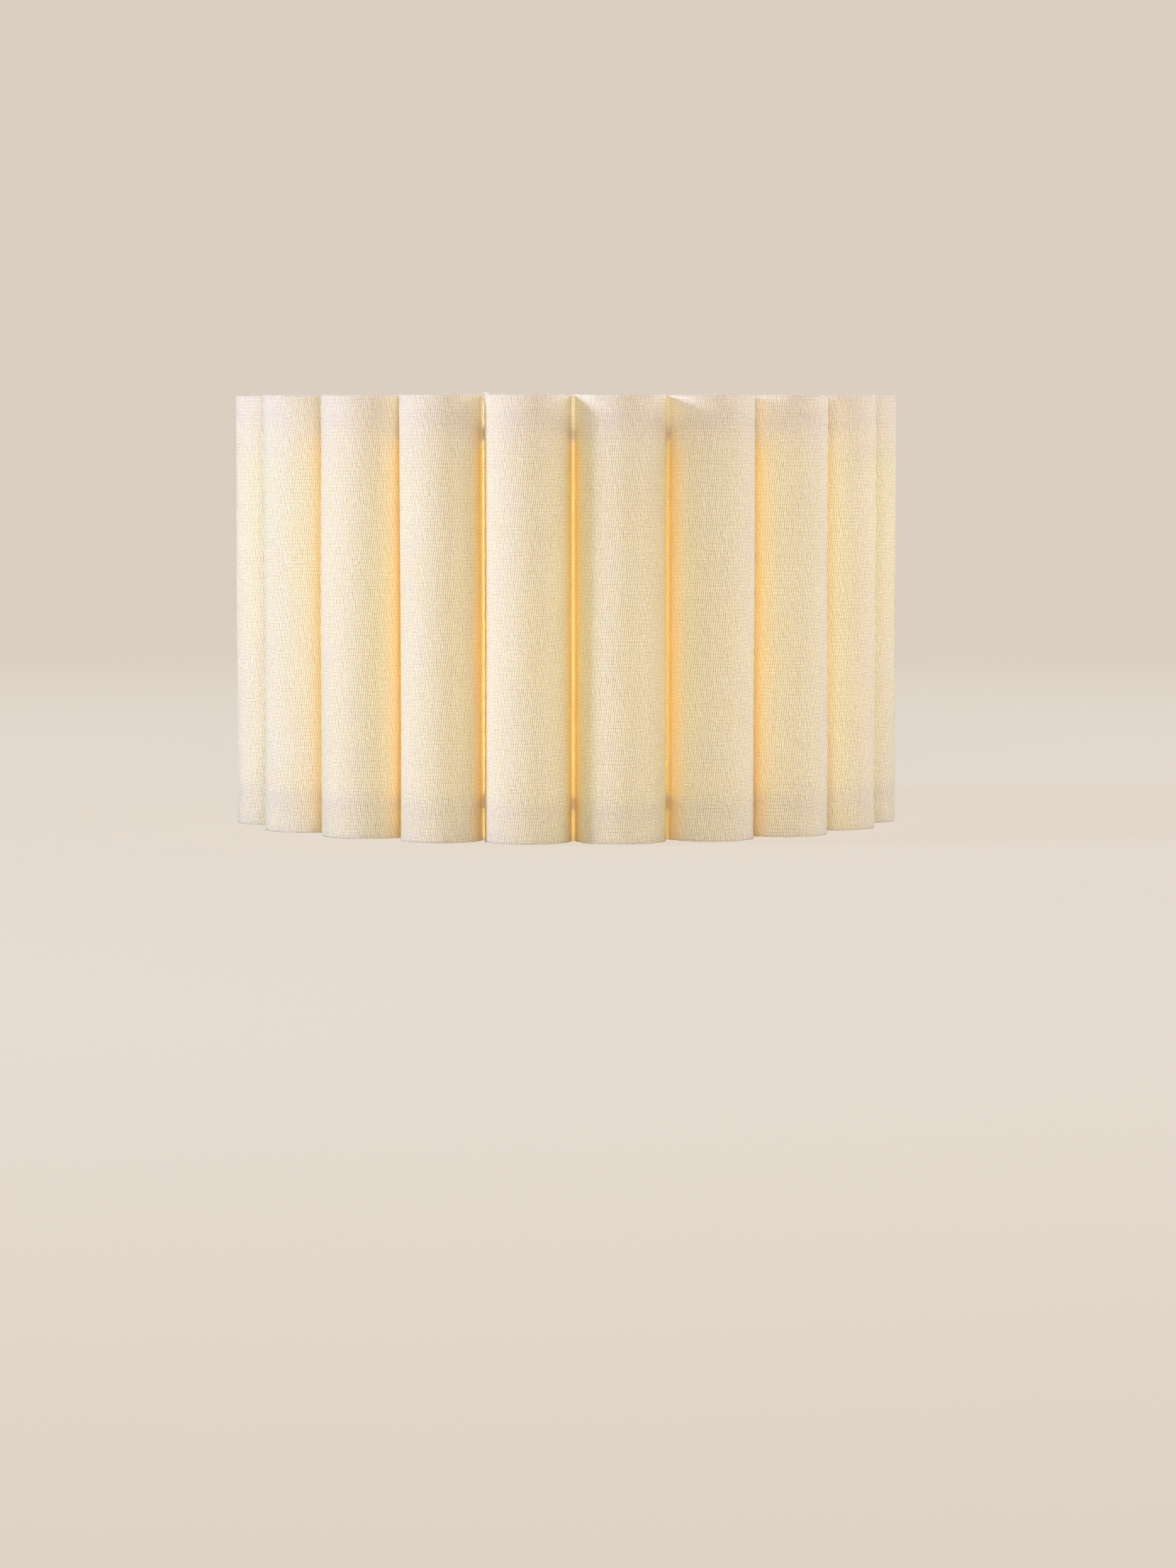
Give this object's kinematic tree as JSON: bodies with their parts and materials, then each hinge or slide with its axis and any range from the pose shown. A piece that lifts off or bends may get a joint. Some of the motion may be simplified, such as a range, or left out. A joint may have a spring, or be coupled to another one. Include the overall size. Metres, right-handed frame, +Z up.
{
  "type": "lamp shade",
  "caption": "Fluted drum lamp shade: cloth laminated to stiff film, formed into half-round vertical flutes, on wire rings with a spider and fitter washer.",
  "frame": {"origin": "centre of the bottom edge, on the surface that the shade stands on", "axes": "+Z up along the shade's axis and out of its top; -Y towards the front, with the seam a little left of it"},
  "size_m": [0.2981, 0.2979, 0.1915],
  "materials": {
    "cloth": "matte",
    "film": "matte",
    "strip": "satin",
    "wire": "satin",
    "glue": "satin"
  },
  "bodies": {
    "root": {"fabric_cover": "cloth", "backing_film": "film", "seam_strip": "strip", "top_ring": "wire", "bottom_ring": "wire", "fitter_washer": "wire", "top_ring_bonds": "glue", "bottom_ring_bonds": "glue", "ring_welds": "wire", "arm_welds": "wire", "spider_arm_1": "wire", "spider_arm_2": "wire", "spider_arm_3": "wire"}
  },
  "joints": []
}
